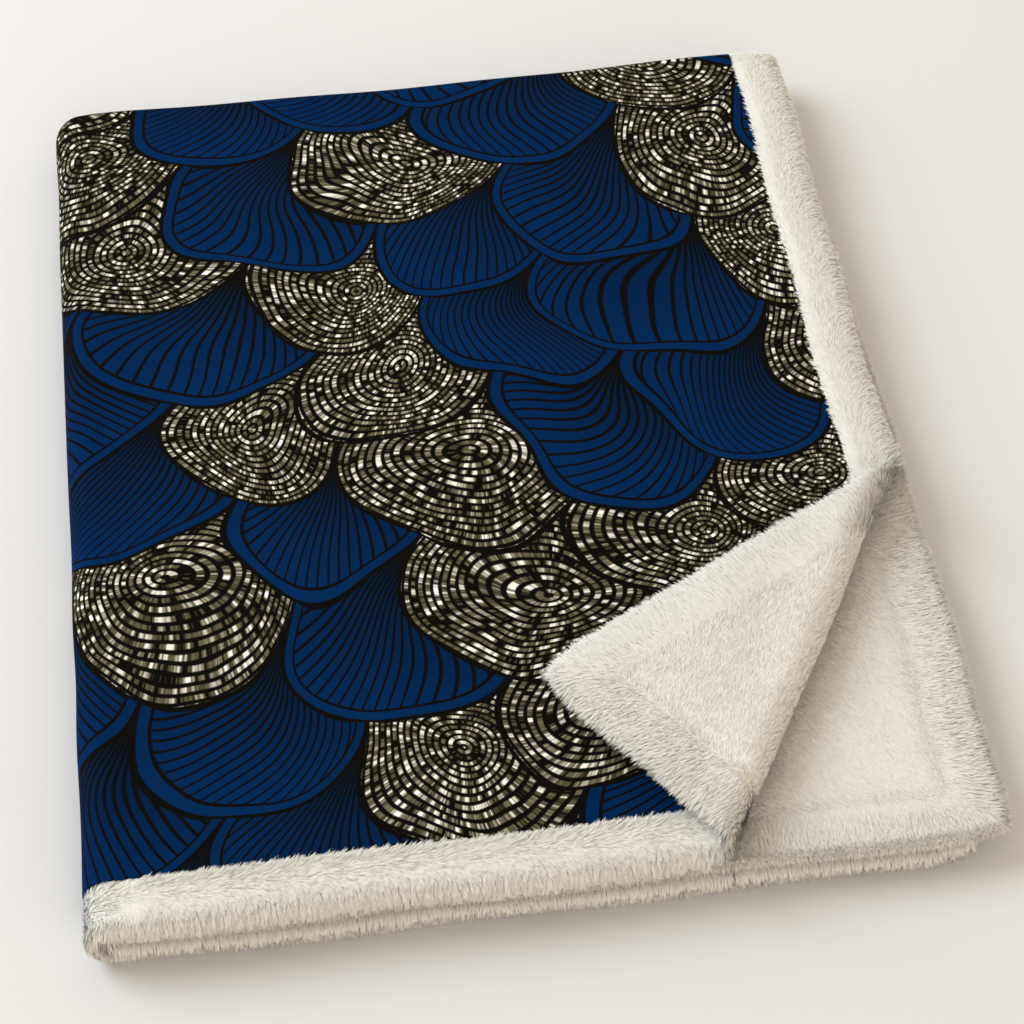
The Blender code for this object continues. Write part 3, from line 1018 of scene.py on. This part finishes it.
# Geometry Nodes: scatters locks over the core, leaning with its nap and drawn together
def pileTree():
    tree = bpy.data.node_groups.new("plush_pile", "GeometryNodeTree")
    sockets = {
        "Geometry": "Geometry", "Strand": "Object", "Cover": "String", "Density": "Float",
        "Seed": "Int", "Width": "Float", "Lock spacing": "Float", "Gather": "Float",
        "Loose": "Float", "Material": "Material",
    }
    for name, kind in sockets.items():
        tree.interface.new_socket(name=name, in_out="INPUT", socket_type="NodeSocket" + kind)
    tree.interface.new_socket(name="Geometry", in_out="OUTPUT", socket_type="NodeSocketGeometry")
    given = addNode(tree, "NodeGroupInput").outputs
    known = {name: given[name] for name in sockets}
    stored = [
        ("cover", given["Cover"], "FLOAT"), ("nap", "nap", "FLOAT_VECTOR"),
        ("length", "pileLength", "FLOAT"), ("lift", "pileLift", "FLOAT"),
        ("facing", "facing", "FLOAT_VECTOR"),
    ]
    for name, title, kind in stored:
        read = addNode(tree, "GeometryNodeInputNamedAttribute", {"Name": title}, data_type=kind)
        known[name] = read.outputs["Attribute"]
    addSteps(tree, "ShaderNodeMath", known, [
        ("density", "MULTIPLY", "cover", "Density"),
        ("perMetre", "DIVIDE", 1.0, "Lock spacing"),
        ("pull", "MULTIPLY", "perMetre", "Gather"),
    ])
    points = addNode(
        tree, "GeometryNodeDistributePointsOnFaces",
        {"Mesh": given["Geometry"], "Density": known["density"], "Seed": given["Seed"]},
        use_legacy_normal=False,
    )
    place = addNode(tree, "GeometryNodeInputPosition").outputs[0]
    lock = addNode(tree, "ShaderNodeTexVoronoi", {"Vector": place, "Scale": known["perMetre"]}).outputs
    eddy = addNode(
        tree, "ShaderNodeTexNoise", {"Vector": place, "Scale": pileSizes["eddyScale"], "Detail": 1.0}
    )
    stray = addNode(
        tree, "FunctionNodeRandomValue", {"Min": (-1, -1, -1), "Max": (1, 1, 1), "Seed": 3},
        data_type="FLOAT_VECTOR",
    )
    known.update(
        place=place, normal=points.outputs["Normal"], lockPlace=lock["Position"],
        lockColour=lock["Color"], eddy=eddy.outputs["Color"], stray=stray.outputs["Value"],
    )
    for name, (low, high), seed in (
        ("spin", pileSizes["spin"], 5), ("vary", pileSizes["vary"], 7), ("shade", (-1.0, 1.0), 9),
    ):
        chance = addNode(tree, "FunctionNodeRandomValue", {2: low, 3: high, "Seed": seed})
        known[name] = chance.outputs[1]
    middle = (0.5, 0.5, 0.5)
    addSteps(tree, "ShaderNodeVectorMath", known, [
        ("toLock", "SUBTRACT", "lockPlace", "place"),
        ("gathered", "MULTIPLY", "toLock", "pull"),
        ("eddyAway", "SUBTRACT", "eddy", middle),
        ("lockAway", "SUBTRACT", "lockColour", middle),
        ("turned", "MULTIPLY_ADD", "eddyAway", (pileSizes["eddy"],) * 3, "gathered"),
        ("aside", "MULTIPLY_ADD", "lockAway", (pileSizes["lockTilt"],) * 3, "turned"),
        ("outOfPlane", "PROJECT", "aside", "normal"),
        ("inPlane", "SUBTRACT", "aside", "outOfPlane"),
        ("brushed", "ADD", "inPlane", "nap"),
        ("upright", "MULTIPLY", "normal", "lift"),
        ("raised", "ADD", "brushed", "upright"),
        ("loose", "MULTIPLY", "stray", "Loose"),
        ("way", "ADD", "raised", "loose"),
    ])
    lockParts = addNode(tree, "ShaderNodeSeparateXYZ", {0: lock["Color"]})
    known["lockChance"] = lockParts.outputs[2]
    addSteps(tree, "ShaderNodeMath", known, [
        ("lockLong", "MULTIPLY_ADD", "lockChance", *pileSizes["lockVary"]),
        ("fibreLong", "MULTIPLY", "length", "vary"),
        ("long", "MULTIPLY", "fibreLong", "lockLong"),
    ])
    standing = addNode(tree, "FunctionNodeAlignRotationToVector", {"Vector": known["way"]}, axis="Z")
    upward = addNode(
        tree, "FunctionNodeAlignRotationToVector",
        {"Rotation": standing.outputs[0], "Vector": known["normal"]}, axis="X", pivot_axis="Z",
    )
    spun = addNode(
        tree, "FunctionNodeAxisAngleToRotation", {"Axis": (0, 0, 1), "Angle": known["spin"]}
    )
    turned = addNode(
        tree, "FunctionNodeRotateRotation",
        {"Rotation": upward.outputs[0], "Rotate By": spun.outputs[0]}, rotation_space="LOCAL",
    )
    scale = addNode(
        tree, "ShaderNodeCombineXYZ", {0: known["long"], 1: given["Width"], 2: known["long"]}
    )
    strand = addNode(tree, "GeometryNodeObjectInfo", {"Object": given["Strand"]})
    locks = addNode(
        tree, "GeometryNodeInstanceOnPoints",
        {
            "Points": points.outputs["Points"], "Instance": strand.outputs["Geometry"],
            "Rotation": turned.outputs[0], "Scale": scale.outputs[0],
        },
    )
    for name, value, kind in (("shade", "shade", "FLOAT"), ("ground", "facing", "FLOAT_VECTOR")):
        locks = addNode(
            tree, "GeometryNodeStoreNamedAttribute",
            {"Geometry": locks.outputs[0], "Name": name}, domain="INSTANCE", data_type=kind,
        )
        tree.links.new(known[value], locks.inputs["Value"])
    real = addNode(tree, "GeometryNodeRealizeInstances", {"Geometry": locks.outputs[0]})
    finished = addNode(
        tree, "GeometryNodeSetMaterial",
        {"Geometry": real.outputs[0], "Material": given["Material"]},
    )
    addNode(tree, "NodeGroupOutput", {0: finished.outputs[0]})
    return tree


# Area of the core that a group covers, in square metres
def coverArea(core, attributeName):
    mesh = core.data
    values = np.zeros(len(mesh.vertices), dtype=np.float32)
    mesh.attributes[attributeName].data.foreach_get("value", values)
    total = 0.0
    for face in mesh.polygons:
        total += face.area * float(np.mean(values[list(face.vertices)]))
    return total


def growPile(core, tree, material):
    strand = makeStrand("pile_strand", material)
    identifiers = {item.name: item.identifier for item in tree.interface.items_tree}
    piles = []
    for name, group in pileSizes["groups"].items():
        coverName = "cover_" + name
        base = bpy.data.objects.new(name, core.data)
        bpy.context.collection.objects.link(base)
        modifier = base.modifiers.new("pile", "NODES")
        modifier.node_group = tree
        wanted = {
            "Strand": strand, "Cover": coverName, "Density": group["count"] / coverArea(core, coverName),
            "Seed": group["seed"], "Width": group["width"], "Lock spacing": group["lock"],
            "Gather": pileSizes["gather"], "Loose": pileSizes["loose"], "Material": material,
        }
        for title, value in wanted.items():
            modifier[identifiers[title]] = value
        graph = bpy.context.evaluated_depsgraph_get()
        mesh = bpy.data.meshes.new_from_object(base.evaluated_get(graph))
        base.modifiers.remove(modifier)
        mesh.name = name
        base.data = mesh
        points = np.zeros(len(mesh.vertices) * 3, dtype=np.float32)
        mesh.vertices.foreach_get("co", points)
        points = points.reshape(-1, 3)
        points[:, 2] = np.maximum(points[:, 2], settling["floorGap"])
        mesh.vertices.foreach_set("co", points.ravel())
        mesh.update()
        piles.append(base)
        print(name, len(mesh.polygons), "faces")
    bpy.data.objects.remove(strand, do_unlink=True)
    return piles


for place in (placeCamera, placeLights, layFloor):
    place(bpy.context.scene)
print("studio ready")
panel = makePanel(printedCotton())
print("printed panel ready,", len(panel.data.polygons), "faces")
core = makeCore(plushKnit())
print("plush backing ready,", len(core.data.polygons), "faces")
piles = growPile(core, pileTree(), plushPile())
print("pile ready")

for piece, node, slotName in ((panel, "front_panel", "print_cotton"), (core, "backing", "plush")):
    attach(piece, "root")
    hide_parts(node)
for pile in piles:
    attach(pile, "root")
